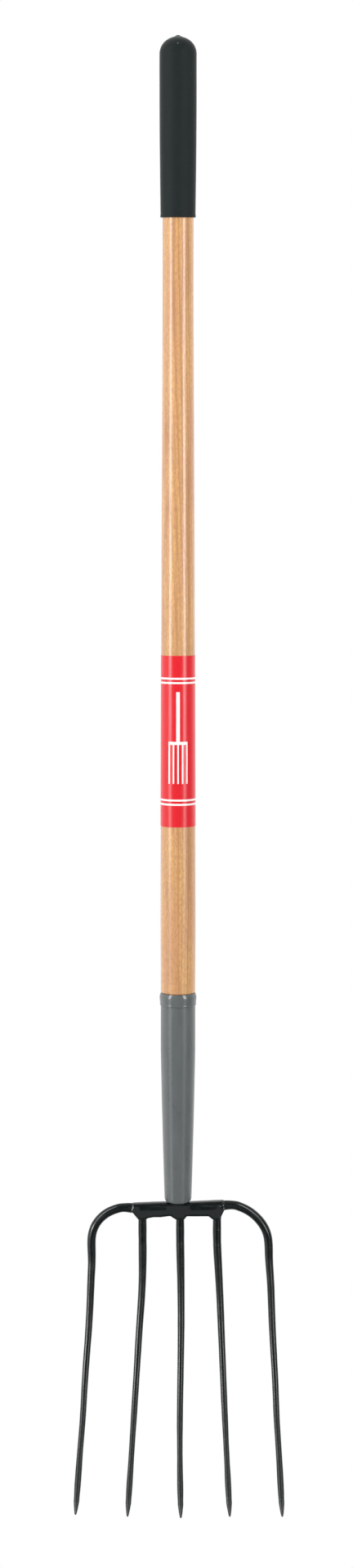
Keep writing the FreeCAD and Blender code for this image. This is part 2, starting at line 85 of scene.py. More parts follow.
def hollow(start, end, radius, steps):
    """Points along an arc from start to end whose centre lies on its outer and upper side."""
    start, end = Vector(start), Vector(end)
    chord = end - start
    rise = math.sqrt(radius**2 - chord.length_squared / 4)
    centre = (start + end) / 2 + Vector((chord.y, -chord.x)).normalized() * rise
    first, last = (math.degrees(math.atan2(point.y - centre.y, point.x - centre.x)) for point in (start, end))
    return arc(centre, radius, first, last, steps)


def split_long(profile, longest, closed):
    """The same outline with every stretch cut into equal steps no longer than longest."""
    ends = profile[1:] + profile[:1] if closed else profile[1:]
    points = []
    for start, end in zip(profile, ends):
        steps = max(1, math.ceil(math.dist(start, end) / longest))
        for step in range(steps):
            share = step / steps
            points.append((start[0] + (end[0] - start[0]) * share,
                           start[1] + (end[1] - start[1]) * share))
    if not closed:
        points.append(profile[-1])
    return points


def turned_rings(profile, around):
    """One ring of points round the Z axis for each point of an outline."""
    turn = np.linspace(0, 2 * math.pi, around, endpoint=False)
    return np.array([
        np.column_stack([radius * np.cos(turn), radius * np.sin(turn), np.full(around, height)])
        for radius, height in profile
    ])


def square_rings(profile, around):
    """Rings like turned_rings, but square: each outline point gives half the width and the height."""
    turn = np.linspace(0, 2 * math.pi, around, endpoint=False)
    reach = 1 / np.maximum(np.abs(np.cos(turn)), np.abs(np.sin(turn)))
    return np.array([
        np.column_stack([half * reach * np.cos(turn), half * reach * np.sin(turn), np.full(around, height)])
        for half, height in profile
    ])


def skin(rings, closed=False, caps=(True, True)):
    """Corners and faces of a surface over rings of equal size. A closed one joins its last ring
    to its first; otherwise each end gets a fan of triangles where caps says so."""
    rows, around, _ = rings.shape
    corners = rings.reshape(-1, 3).tolist()
    here = np.arange(around)
    after = (here + 1) % around
    faces = []
    for row in range(rows if closed else rows - 1):
        low = row * around
        high = ((row + 1) % rows) * around
        faces += np.column_stack([low + here, low + after, high + after, high + here]).tolist()
    if closed:
        return corners, faces
    for wanted, row in zip(caps, (0, rows - 1)):
        if wanted:
            corners.append(rings[row].mean(axis=0).tolist())
            tip = len(corners) - 1
            faces += [[row * around + a, row * around + b, tip] for a, b in zip(here, after)]
    return corners, faces


def add_piece(name, mesh, node, sharp_angle):
    """Shows a mesh as one piece of the fork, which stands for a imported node."""
    mesh.name = name
    piece = bpy.data.objects.new(name, mesh)
    bpy.context.scene.collection.objects.link(piece)
    mesh.shade_smooth()
    mesh.set_sharp_from_angle(angle=math.radians(sharp_angle))
    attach(piece, "root")
    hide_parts(node)
    return piece


def solid_mesh(name, corners, faces):
    """A mesh whose faces all point outwards."""
    work = bmesh.new()
    points = [work.verts.new(corner) for corner in corners]
    for face in faces:
        work.faces.new([points[index] for index in face])
    bmesh.ops.recalc_face_normals(work, faces=work.faces)
    mesh = bpy.data.meshes.new(name)
    work.to_mesh(mesh)
    work.free()
    return mesh


def roughen(mesh, height_at):
    """Moves every corner along its normal by the height that height_at(place, normal) gives."""
    normals = [Vector(corner.normal) for corner in mesh.vertices]
    for corner, normal in zip(mesh.vertices, normals):
        corner.co += normal * height_at(corner.co, normal)
    mesh.update()


def waves(place, length, seed):
    """Smooth noise from -1 to 1 whose bumps are about length across."""
    return noise.noise(place / length + Vector((seed, 2.7 * seed, 0.0)))


def smooth_step(value, start, end):
    """0 at start, 1 at end, smooth between."""
    share = min(max((value - start) / (end - start), 0.0), 1.0)
    return share * share * (3 - 2 * share)


# ---------------------------------------------------------------- sizes shared by the pieces

grip_low, grip_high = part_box("end_grip")
wood_low, wood_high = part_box("wood_handle")
label_low, label_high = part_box("label_sleeve")
ferrule_low, ferrule_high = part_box("ferrule")
nail_low, nail_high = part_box("retaining_nail")
head_low, head_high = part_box("fork_head")

WOOD_TOP_RADIUS = 16.12 * MM
FIT_GAP = 0.05 * MM
FERRULE_RADIUS = 18.35 * MM
FERRULE_WALL = 1.1 * MM
FERRULE_FOOT_RADIUS = 14.4 * MM
FERRULE_FOOT_ROUND = 5.0 * MM
FERRULE_TAPER_TOP = 166.0 * MM
FERRULE_BOW = 0.27 * MM
PIP_HEIGHT = 1.5 * MM
VENT = Vector((-0.2 * MM, -17.0 * MM, grip_high.z - PIP_HEIGHT - 9.6 * MM))
VENT_RADIUS = 1.0 * MM
TANG_HALF = 5.8 * MM
TANG_TIP_HALF = 3.5 * MM
NAIL_RADIUS = 1.6 * MM
NAIL_HEIGHT = (nail_low.z + nail_high.z) / 2


# ---------------------------------------------------------------- end grip

def make_end_grip():
    """Dipped vinyl sleeve: domed crown with a drip point, straight sides, beaded mouth."""
    radius = (grip_high.x - grip_low.x) / 2
    mouth = grip_low.z
    crown = grip_high.z - PIP_HEIGHT
    crown_radius = 20.8 * MM
    pip_foot = 6.5 * MM
    pip_flank = 19.0 * MM
    shoulder_rim = 12.0 * MM
    straight = 60.0 * MM
    mouth_radius = radius - 1.0 * MM
    bead = 0.35 * MM
    lip = 1.5 * MM
    end_wall = 4.0 * MM
    bore = WOOD_TOP_RADIUS + FIT_GAP
    bore_round = 11.0 * MM

    rim_angle = math.degrees(math.asin(shoulder_rim / crown_radius))
    shoulder = (radius - shoulder_rim) / (1 - shoulder_rim / crown_radius)
    rim_height = crown - crown_radius * (1 - math.cos(math.radians(rim_angle)))
    straight_top = rim_height - shoulder * math.cos(math.radians(rim_angle))
    bore_top = crown - end_wall

    outside = bowed((mouth_radius, mouth + 4 * MM), (radius, straight_top - straight), 0.12 * MM, 40)
    outside.append((radius, straight_top - straight))
    outside += arc((radius - shoulder, straight_top), shoulder, 0, 90 - rim_angle, 24)
    foot_angle = math.degrees(math.acos(pip_foot / crown_radius))
    outside += arc((0, crown - crown_radius), crown_radius, 90 - rim_angle, foot_angle, 12)[1:]
    outside += hollow(outside[-1], (1.9 * MM, crown + 1.1 * MM), pip_flank, 12)[1:]
    outside += [(1.3 * MM, crown + 1.34 * MM), (0.7 * MM, crown + 1.46 * MM), (0.2 * MM, crown + PIP_HEIGHT)]
    lip_outside = [
        (bore, mouth + 0.6 * MM),
        (bore + 0.5 * MM, mouth + 0.1 * MM),
        (bore + 0.9 * MM, mouth),
    ]
    lip_outside += arc((mouth_radius + bead - lip * 0.8, mouth + lip * 0.8), lip * 0.8, -80, 30, 8)
    inside = [(0.4 * MM, bore_top)]
    inside += [(bore - bore_round * (1 - math.cos(math.radians(a))),
                bore_top - bore_round * (1 - math.sin(math.radians(a)))) for a in range(90, -1, -15)]
    profile = inside + lip_outside + outside
    mesh = solid_mesh("end_grip", *skin(turned_rings(split_long(profile, 2.0 * MM, False), 112)))
    # The mouth is not cut quite square: it hangs lower at the front.
    for corner in mesh.vertices:
        corner.co.z += 0.09 * corner.co.y * (1 - smooth_step(corner.co.z - mouth, 0.0, 45 * MM))

    def height(place, normal):
        if math.hypot(place.x, place.y) < bore + 0.7 * MM and place.z < bore_top + 0.1 * MM:
            return 0.0
        slack = 0.07 * MM * waves(place, 24 * MM, 3.0) + 0.02 * MM * waves(place, 5 * MM, 8.0)
        pimple = 0.35 * MM * (1 - smooth_step((place - VENT).length, 0.0, VENT_RADIUS * 1.8))
        return slack + pimple

    roughen(mesh, height)
    return add_piece("end_grip_vinyl", mesh, "end_grip", 50)


# ---------------------------------------------------------------- wooden handle

def make_wood_handle():
    """Turned ash handle, thickest above the ferrule, bored for the tang."""
    swell_radius = (wood_high.x - wood_low.x) / 2
    seat_radius = 18.35 * MM
    seat_round = 1.8 * MM
    swell_height = 300.0 * MM
    taper_top = 950.0 * MM
    taper_bow = 0.28 * MM
    end_round = 11.0 * MM
    around = 112

    rim = ferrule_high.z + FIT_GAP
    inside = FERRULE_WALL + FIT_GAP
    foot = wood_low.z
    knee = ferrule_low.z + FERRULE_FOOT_ROUND
    foot_round = FERRULE_FOOT_ROUND - inside
    tang_reach = 186.0 * MM

    profile = arc((WOOD_TOP_RADIUS - end_round, wood_high.z - end_round), end_round, 88, 0, 10)
    profile.append((WOOD_TOP_RADIUS, taper_top))
    profile += bowed((WOOD_TOP_RADIUS, taper_top), (swell_radius, swell_height), taper_bow, 60)[1:]
    profile.append((swell_radius, swell_height))
    profile += arc((seat_radius - seat_round, rim + seat_round), seat_round, 0, -80, 6)
    profile.append((FERRULE_RADIUS - inside, rim))
    profile += bowed((FERRULE_RADIUS - inside, FERRULE_TAPER_TOP),
                     (FERRULE_FOOT_RADIUS - inside, knee), FERRULE_BOW, 20)
    profile += arc((FERRULE_FOOT_RADIUS - FERRULE_FOOT_ROUND, knee), foot_round, 0, -90, 8)
    outside = turned_rings(split_long(profile, 3.0 * MM, False), around)

    bore = [(TANG_HALF + FIT_GAP, foot), (TANG_TIP_HALF + FIT_GAP, tang_reach + FIT_GAP)]
    hole = square_rings(split_long(bore, 12.0 * MM, False), around)
    mesh = solid_mesh("wood_handle", *skin(np.concatenate([outside, hole])))

    def height(place, normal):
        if place.z < rim + 1 * MM or math.hypot(place.x, place.y) < 12 * MM:
            return 0.0
        along = Vector((place.x * 3, place.y * 3, place.z * 0.35))
        return 0.05 * MM * waves(along, 30 * MM, 5.0)

    roughen(mesh, height)
    return add_piece("handle_ash", mesh, "wood_handle", 35)


# ---------------------------------------------------------------- label

def make_label():
    """Film label wrapped round the handle, its overlap at the back."""
    film = 0.2 * MM
    top_radius = 18.02 * MM
    bottom_radius = (label_high.x - label_low.x) / 2
    around = 224
    edge = 0.08 * MM
    overlap_half = math.radians(8.0)

    def radius_at(height):
        share = (height - label_low.z) / (label_high.z - label_low.z)
        return bottom_radius + (top_radius - bottom_radius) * share

    low, high = label_low.z, label_high.z
    outline = [
        (radius_at(low) - film, low + edge),
        (radius_at(low) - film + edge, low),
        (radius_at(low) - edge, low),
        (radius_at(low), low + edge),
        (radius_at(high), high - edge),
        (radius_at(high) - edge, high),
        (radius_at(high) - film + edge, high),
        (radius_at(high) - film, high - edge),
    ]
    mesh = solid_mesh("label", *skin(turned_rings(split_long(outline, 2.5 * MM, True), around), closed=True))

    def height(place, normal):
        out_of_axis = Vector((place.x, place.y, 0.0)).normalized()
        if normal.dot(out_of_axis) < 0.2:
            return 0.0
        from_back = abs(math.atan2(place.x, place.y))
        step = film * 0.8 * (1 - smooth_step(from_back, overlap_half * 0.93, overlap_half))
        end_gap = min(place.z - low, high - place.z)
        curl = 0.06 * MM * (1 - smooth_step(end_gap, 0.0, 4 * MM)) * (1 + waves(place, 9 * MM, 1.0))
        return step + curl + 0.03 * MM * waves(place, 22 * MM, 6.0)

    roughen(mesh, height)
    return add_piece("label_film", mesh, "label_sleeve", 35)


# ---------------------------------------------------------------- ferrule

def make_ferrule():
    """Deep-drawn steel cap: hemmed rim, straight tube, long taper, rounded closed end."""
    rim_radius = (ferrule_high.x - ferrule_low.x) / 2
    rim_top = ferrule_high.z
    rim_draw = 1.12 * MM
    lip = rim_top - 13.2 * MM
    lip_radius = 19.1 * MM
    hole = 9.3 * MM
    foot = ferrule_low.z
    knee = foot + FERRULE_FOOT_ROUND
    bore = FERRULE_RADIUS - FERRULE_WALL
    fold = (rim_radius - rim_draw - bore) / 2
    # The roll is an arc that leaves the hem's side upright and leans in by this angle at its top.
    roll_angle = 29.0
    roll = (rim_draw + fold * (1 - math.cos(math.radians(roll_angle)))) / (1 - math.cos(math.radians(roll_angle)))
    roll_top = rim_top - fold * (1 - math.sin(math.radians(roll_angle)))
    roll_start = roll_top - roll * math.sin(math.radians(roll_angle))

    outline = [(hole, foot + 0.3 * MM), (hole + 0.3 * MM, foot)]
    outline += arc((FERRULE_FOOT_RADIUS - FERRULE_FOOT_ROUND, knee), FERRULE_FOOT_ROUND, -90, 0, 12)
    outline += bowed((FERRULE_FOOT_RADIUS, knee), (FERRULE_RADIUS, FERRULE_TAPER_TOP), FERRULE_BOW, 40)[1:]
    outline += [
        (FERRULE_RADIUS, FERRULE_TAPER_TOP),
        (FERRULE_RADIUS, lip + 0.05 * MM),
        (FERRULE_RADIUS + 0.3 * MM, lip),
        (lip_radius - 0.1 * MM, lip + 0.1 * MM),
        (lip_radius + 0.16 * MM, lip + 0.5 * MM),
        (lip_radius + 0.2 * MM, lip + 1.0 * MM),
        (lip_radius + 0.06 * MM, lip + 1.5 * MM),
        (lip_radius, lip + 2.0 * MM),
        (lip_radius + 0.08 * MM, lip + 3.0 * MM),
    ]
    outline += arc((rim_radius - roll, roll_start), roll, -6, roll_angle, 12)
    outline += arc((rim_radius - rim_draw - fold, rim_top - fold), fold, roll_angle + 8, 180, 10)
    outline.append((bore, rim_top - 3 * fold))
    outline.append((bore, FERRULE_TAPER_TOP))
    outline += bowed((bore, FERRULE_TAPER_TOP),
                     (FERRULE_FOOT_RADIUS - FERRULE_WALL, knee), FERRULE_BOW, 30)[1:]
    outline += arc((FERRULE_FOOT_RADIUS - FERRULE_FOOT_ROUND, knee),
                   FERRULE_FOOT_ROUND - FERRULE_WALL, 0, -90, 8)
    outline.append((hole, foot + FERRULE_WALL))
    mesh = solid_mesh("ferrule", *skin(turned_rings(split_long(outline, 2.0 * MM, True), 112), closed=True))

    def height(place, normal):
        if normal.dot(Vector((place.x, place.y, 0.0)).normalized()) < 0.2 or place.z > lip - 4 * MM:
            return 0.0
        along = Vector((place.x, place.y, place.z * 0.4))
        return 0.045 * MM * waves(along, 14 * MM, 11.0)

    roughen(mesh, height)
    return add_piece("ferrule_steel", mesh, "ferrule", 50)


# ---------------------------------------------------------------- retaining nail

def make_nail():
    """Round-headed nail driven in from the back."""
    head_radius = (nail_high.x - nail_low.x) / 2
    head_rise = 1.7 * MM
    seat = nail_high.y - head_rise
    point = nail_low.y
    dome = (head_radius**2 + head_rise**2) / (2 * head_rise)
    half_angle = math.degrees(math.asin(head_radius / dome))

    profile = [
        (0.3 * MM, point + 0.1 * MM),
        (NAIL_RADIUS, point + 3.2 * MM),
        (NAIL_RADIUS, seat - 0.3 * MM),
        (NAIL_RADIUS + 0.35 * MM, seat),
        (head_radius - 0.2 * MM, seat),
    ]
    profile += arc((0, seat + head_rise - dome), dome, 90 - half_angle + 2, 87, 12)
    rings = turned_rings(split_long(profile, 1.2 * MM, False), 40)
    # The nail is turned about Z and laid along Y, a quarter turn about X.
    laid = np.stack([rings[..., 0], rings[..., 2], NAIL_HEIGHT - rings[..., 1]], axis=-1)
    mesh = solid_mesh("nail", *skin(laid))

    def height(place, normal):
        if place.y < seat:
            return 0.0
        return 0.05 * MM * waves(place, 1.6 * MM, 4.0)

    roughen(mesh, height)
    return add_piece("nail_steel", mesh, "retaining_nail", 40)


# ---------------------------------------------------------------- forged head

def plane_cut(corners, edges, point, normal):
    """Where a plane crosses the edges of a mesh."""
    above = (corners - np.array(point)) @ np.array(normal)
    start, end = above[edges[:, 0]], above[edges[:, 1]]
    crossing = (start > 0) != (end > 0)
    start, end = start[crossing], end[crossing]
    first = corners[edges[crossing, 0]]
    second = corners[edges[crossing, 1]]
    return first + (second - first) * (start / (start - end))[:, None]


def middle(points):
    """Half way between the lowest and the highest of the points, on each axis."""
    return (points.min(axis=0) + points.max(axis=0)) / 2


def half_width(points, axis):
    """Half the reach of the points on one axis."""
    return (points[:, axis].max() - points[:, axis].min()) / 2


def groups_across(points, gap):
    """The points of one level cut, split wherever X jumps by more than gap."""
    ordered = points[np.argsort(points[:, 0])]
    breaks = np.where(np.diff(ordered[:, 0]) > gap)[0] + 1
    return np.split(ordered, breaks)


def calmed(values, passes):
    """A row of numbers or points with each one drawn towards its neighbours; the ends stay."""
    values = np.array(values, float)
    for _ in range(passes):
        values[1:-1] = values[1:-1] / 2 + (values[:-2] + values[2:]) / 4
    return values


CUT_WIDTH = 60.0 * MM
CUT_DEPTH = 46.0 * MM
STATION = 1.6 * MM
TINE_COUNT = 5
YOKE_HALF_DEPTH = 6.0 * MM


def tine_stations(corners, edges):
    """Centre and radius of each tine at even steps down from the cut, left to right."""
    tips = []
    tines = [[] for _ in range(TINE_COUNT)]
    for level in np.arange(-CUT_DEPTH - STATION / 2, head_low.z, -STATION):
        found = groups_across(plane_cut(corners, edges, (0, 0, level), (0, 0, 1)), 15 * MM)
        if len(found) != TINE_COUNT:
            break
        for tine, points in zip(tines, found):
            tine.append((*middle(points), half_width(points, 0)))
    for tine in tines:
        last = tine[-1]
        near = corners[np.abs(corners[:, 0] - last[0]) < 8 * MM]
        tips.append(near[near[:, 2].argmin()])
    return tines, tips


def bend_stations(corners, edges, side):
    """Centre and radius of an arm from the cut beside the yoke round to level with the tines' cut."""
    pivot = np.array((side * CUT_WIDTH, 0.0, -CUT_DEPTH))
    stations = []
    for angle in np.linspace(3.5, 89.0, 37):
        turn = math.radians(angle)
        ray = np.array((side * math.sin(turn), 0.0, math.cos(turn)))
        normal = np.array((side * math.cos(turn), 0.0, -math.sin(turn)))
        points = plane_cut(corners, edges, pivot, normal)
        reach = (points - pivot) @ ray
        points = points[(reach > 0) & (reach < 60 * MM)]
        stations.append((*middle(points), half_width(points, 1)))
    return stations


def rod_rings(stations, tip, around):
    """Rings round the stations, full to the last and then drawn out to a short four-sided point."""
    full_length = 17.0 * MM
    point_length = 12.0 * MM
    tip_radius = 0.7 * MM
    stations = calmed([station for station in stations if station[2] > tip[2] + point_length], 30)
    centres, radii = stations[:, :3], stations[:, 3]
    radii = np.maximum(radii, radii[centres[:, 2] > tip[2] + full_length][-1])
    start = centres[-1]
    steps = 14
    shares = (np.arange(1, steps + 1) / steps)[:, None]
    slope = centres[-1] - centres[-6]
    away = np.linalg.norm(tip - start)
    lead = start + slope / np.linalg.norm(slope) * away / 2
    drawn = start * (1 - shares) ** 2 + lead * 2 * shares * (1 - shares) + tip * shares**2
    drawn_radii = tip_radius + (radii[-1] - tip_radius) * (1 - shares[:, 0]) ** 0.7
    centres = np.concatenate([centres, drawn])
    radii = np.concatenate([radii, drawn_radii])

    along = np.gradient(centres, axis=0)
    along /= np.linalg.norm(along, axis=1)[:, None]
    across = np.cross(along, (0.0, 1.0, 0.0))
    across /= np.linalg.norm(across, axis=1)[:, None]
    front = np.cross(across, along)
    turn = np.linspace(0, 2 * math.pi, around, endpoint=False)
    rings = []
    for index, (centre, radius) in enumerate(zip(centres, radii)):
        squared = 0.6 * smooth_step(index - (len(centres) - steps), -1, 10)
        diamond = 1 / (np.abs(np.cos(turn)) + np.abs(np.sin(turn)))
        reach = radius * (1 + (diamond - 1) * squared)
        sideways = reach * np.cos(turn)
        forwards = reach * np.sin(turn)
        rings.append(centre + sideways[:, None] * across[index] + forwards[:, None] * front[index])
    return np.array(rings)


def cut_away(work, point, normal):
    """Removes the side of a plane that its normal points to. Returns the new edges."""
    cut = bmesh.ops.bisect_plane(
        work, geom=work.verts[:] + work.edges[:] + work.faces[:],
        plane_co=point, plane_no=normal, clear_outer=True)
    return [item for item in cut["geom_cut"] if isinstance(item, bmesh.types.BMEdge)]


def yoke_cuts(margin):
    """The planes that part the yoke from arms, tines and tang, moved outwards by margin."""
    return [
        ((CUT_WIDTH + margin, 0, 0), (1, 0, 0)),
        ((-CUT_WIDTH - margin, 0, 0), (-1, 0, 0)),
        ((0, 0, -CUT_DEPTH - margin), (0, 0, -1)),
        ((0, 0, 4 * MM + margin), (0, 0, 1)),
    ]


def soft_yoke(mesh):
    """The middle of the head in even cells, its edges and inner corners rounded as by forging,
    cut open where arms, tines and tang go on."""
    cell = 0.6 * MM
    work = bmesh.new()
    work.from_mesh(mesh)
    bmesh.ops.remove_doubles(work, verts=work.verts, dist=0.002 * MM)
    for point, normal in yoke_cuts(4 * MM):
        rim = cut_away(work, point, normal)
        bmesh.ops.holes_fill(work, edges=rim)
    bmesh.ops.triangulate(work, faces=work.faces)
    rough = bpy.data.meshes.new("yoke")
    work.to_mesh(rough)
    work.free()

    holder = bpy.data.objects.new("yoke", rough)
    bpy.context.scene.collection.objects.link(holder)
    cells = holder.modifiers.new("cells", "REMESH")
    cells.mode = "VOXEL"
    cells.voxel_size = cell
    rounding = holder.modifiers.new("rounding", "SMOOTH")
    rounding.factor = 0.5
    rounding.iterations = 9
    graph = bpy.context.evaluated_depsgraph_get()
    even = bpy.data.meshes.new_from_object(holder.evaluated_get(graph), depsgraph=graph)
    bpy.data.objects.remove(holder)

    work = bmesh.new()
    work.from_mesh(even)
    for point, normal in yoke_cuts(0.0):
        cut_away(work, point, normal)
    return work


def join_rod(work, rings):
    """Adds a rod to the open mesh and bridges its first ring to the nearest open rim."""
    corners, faces = skin(rings, caps=(False, True))
    points = [work.verts.new(corner) for corner in corners]
    for face in faces:
        work.faces.new([points[index] for index in face])
    around = rings.shape[1]
    start = Vector(rings[0].mean(axis=0))
    own = set(points)
    rim = [edge for edge in work.edges
           if edge.is_boundary and edge.verts[0] not in own and (edge.verts[0].co - start).length < 12 * MM]
    first = [work.edges.get((points[index], points[(index + 1) % around])) for index in range(around)]
    bmesh.ops.bridge_loops(work, edges=rim + first)


def dent(place, centre, half, depth):
    """Depth of a shallow hammered hollow: full at its centre, nothing at its rim."""
    away = math.hypot((place.x - centre[0]) / half[0], (place.z - centre[1]) / half[1])
    return depth * (1 - smooth_step(away, 0.25, 1.0))


def between(value, start, full, still, end):
    """0 up to start, 1 from full to still, 0 again from end on, smooth between."""
    return smooth_step(value, start, full) * (1 - smooth_step(value, still, end))


def work_yoke(mesh):
    """Works the yoke like the smith: drawn in to the arms at its ends, full below, lightly crowned,
    and hollowed along the front under a brow, with a small pit beside each arm."""
    for corner in mesh.vertices:
        place = corner.co
        away = abs(place.x)
        if place.z < -30 * MM or place.z > 4 * MM or away > 58 * MM:
            continue
        upper = between(place.z, -12 * MM, -8 * MM, 0.5 * MM, 4 * MM)
        front = smooth_step(-place.y, 1.5 * MM, 5.5 * MM)
        inner = 1 - smooth_step(away, 47 * MM, 57 * MM)
        sideways = Vector((place.x, 0.0, 0.0))
        brow = -8.0 * MM + 1.8 * MM * waves(sideways, 17 * MM, 5.0)
        spread = between(away, 10 * MM, 18 * MM, 36 * MM, 44 * MM)
        hollow_depth = spread * MM * smooth_step(place.z, brow, brow + 7 * MM)
        hollow_depth += dent(place, (-23 * MM, -4.6 * MM), (12 * MM, 2.6 * MM), 0.35 * MM)
        hollow_depth += dent(place, (31 * MM, -4.0 * MM), (11 * MM, 2.4 * MM), 0.35 * MM)
        hollow_depth += dent(place, (-50.5 * MM, -4.0 * MM), (3.6 * MM, 3.2 * MM), 0.5 * MM)
        hollow_depth += dent(place, (47.5 * MM, -2.6 * MM), (3.6 * MM, 3.2 * MM), 0.5 * MM)
        place.z -= 0.25 * MM * (place.y / YOKE_HALF_DEPTH) ** 2 * upper * inner
        place.z -= 0.4 * MM * between(-place.z, 8 * MM, 13 * MM, 16 * MM, 30 * MM) * inner
        place.y *= 1 - 0.16 * between(away, 37 * MM, 47 * MM, 48 * MM, 54 * MM)
        place.y += hollow_depth * front * upper
    mesh.update()


def forged_height(place, normal):
    """Hammer marks all over, and a little more thickness round the yoke."""
    height = 0.09 * MM * waves(place, 13 * MM, 2.0) + 0.02 * MM * waves(place, 5.0 * MM, 9.0)
    thicker = between(place.z, -44 * MM, -28 * MM, 0.0, 4 * MM) * (1 - smooth_step(abs(place.x), 50 * MM, 58 * MM))
    return height + 0.35 * MM * thicker


def make_fork_head():
    """Yoke, tang, arms and tines as one forging."""
    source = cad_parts["fork_head"].data
    corners = np.array([corner.co for corner in source.vertices], float)
    edges = np.array([edge.vertices[:] for edge in source.edges])
    tines, tips = tine_stations(corners, edges)
    around = 32

    work = soft_yoke(source)
    for index, (tine, tip) in enumerate(zip(tines, tips)):
        side = {0: -1, TINE_COUNT - 1: 1}.get(index)
        if side:
            tine = bend_stations(corners, edges, side) + tine
        join_rod(work, rod_rings(tine, tip, around))

    tang_top = head_high.z
    tang = [(TANG_HALF - 0.05 * MM, 4.5 * MM), (TANG_TIP_HALF, tang_top - 0.6 * MM),
            (TANG_TIP_HALF - 0.6 * MM, tang_top)]
    join_rod(work, square_rings(split_long(tang, 4 * MM, False), 48))
    bmesh.ops.recalc_face_normals(work, faces=work.faces)
    mesh = bpy.data.meshes.new("head")
    work.to_mesh(mesh)
    work.free()
    work_yoke(mesh)
    roughen(mesh, forged_height)
    return add_piece("head_forging", mesh, "fork_head", 60)


# ---------------------------------------------------------------- material helpers

def linear(red, green, blue):
    """A colour given as 0 to 255 display values, as Cycles needs it."""
    def channel(number):
        share = number / 255
        return share / 12.92 if share <= 0.04045 else ((share + 0.055) / 1.055) ** 2.4
    return (channel(red), channel(green), channel(blue), 1.0)


class Look:
    """A material that is built node by node on the object's own coordinates, in metres."""

    def __init__(self, name):
        self.material = bpy.data.materials.new(name)
        self.material.use_nodes = True
        self.tree = self.material.node_tree
        self.surface = self.tree.nodes["Principled BSDF"]
        coordinates = self.node("ShaderNodeTexCoord").outputs
        self.place = coordinates["Object"]
        self.facing = coordinates["Normal"]

    def node(self, kind, inputs=None, **settings):
        """Adds a node. An input is a number, a tuple or another node's output."""
        made = self.tree.nodes.new(kind)
        for key, setting in settings.items():
            setattr(made, key, setting)
        for key, given in (inputs or {}).items():
            self.put(made.inputs[key], given)
        return made

    def put(self, socket, given):
        """Links or sets one input."""
        if isinstance(given, bpy.types.NodeSocket):
            self.tree.links.new(given, socket)
        else:
            socket.default_value = given

    def math(self, operation, first, second=0.0, clamp=False):
        """The result of one sum."""
        made = self.node("ShaderNodeMath", {0: first, 1: second}, operation=operation, use_clamp=clamp)
        return made.outputs[0]

    def stretched(self, across, along):
        """Coordinates scaled by across on X and Y and by along on Z."""
        made = self.node("ShaderNodeMapping", {"Vector": self.place, "Scale": (across, across, along)})
        return made.outputs[0]

    def noise(self, place, scale, detail=2.0, roughness=0.5):
        """Noise from 0 to 1, its bumps 1/scale apart."""
        made = self.node("ShaderNodeTexNoise", {
            "Vector": place, "Scale": scale, "Detail": detail, "Roughness": roughness})
        return made.outputs["Fac"]

    def remap(self, given, low, high, to_low=0.0, to_high=1.0):
        """A number moved from one range to another and kept inside it."""
        made = self.node("ShaderNodeMapRange", {
            "Value": given, "From Min": low, "From Max": high, "To Min": to_low, "To Max": to_high})
        return made.outputs[0]

    def mix(self, share, first, second):
        """A colour between first and second."""
        made = self.node("ShaderNodeMix", data_type="RGBA")
        self.put(made.inputs[0], share)
        self.put(made.inputs[6], first)
        self.put(made.inputs[7], second)
        return made.outputs[2]

    def bump(self, height, distance, socket="Normal"):
        """Drives a normal of the surface by a height field, distance metres for a height of 1."""
        made = self.node("ShaderNodeBump", {"Height": height, "Distance": distance})
        self.tree.links.new(made.outputs[0], self.surface.inputs[socket])

    def set(self, **inputs):
        """Sets inputs of the surface; a name's underscores stand for spaces."""
        for key, given in inputs.items():
            self.put(self.surface.inputs[key.replace("_", " ")], given)


# ---------------------------------------------------------------- materials

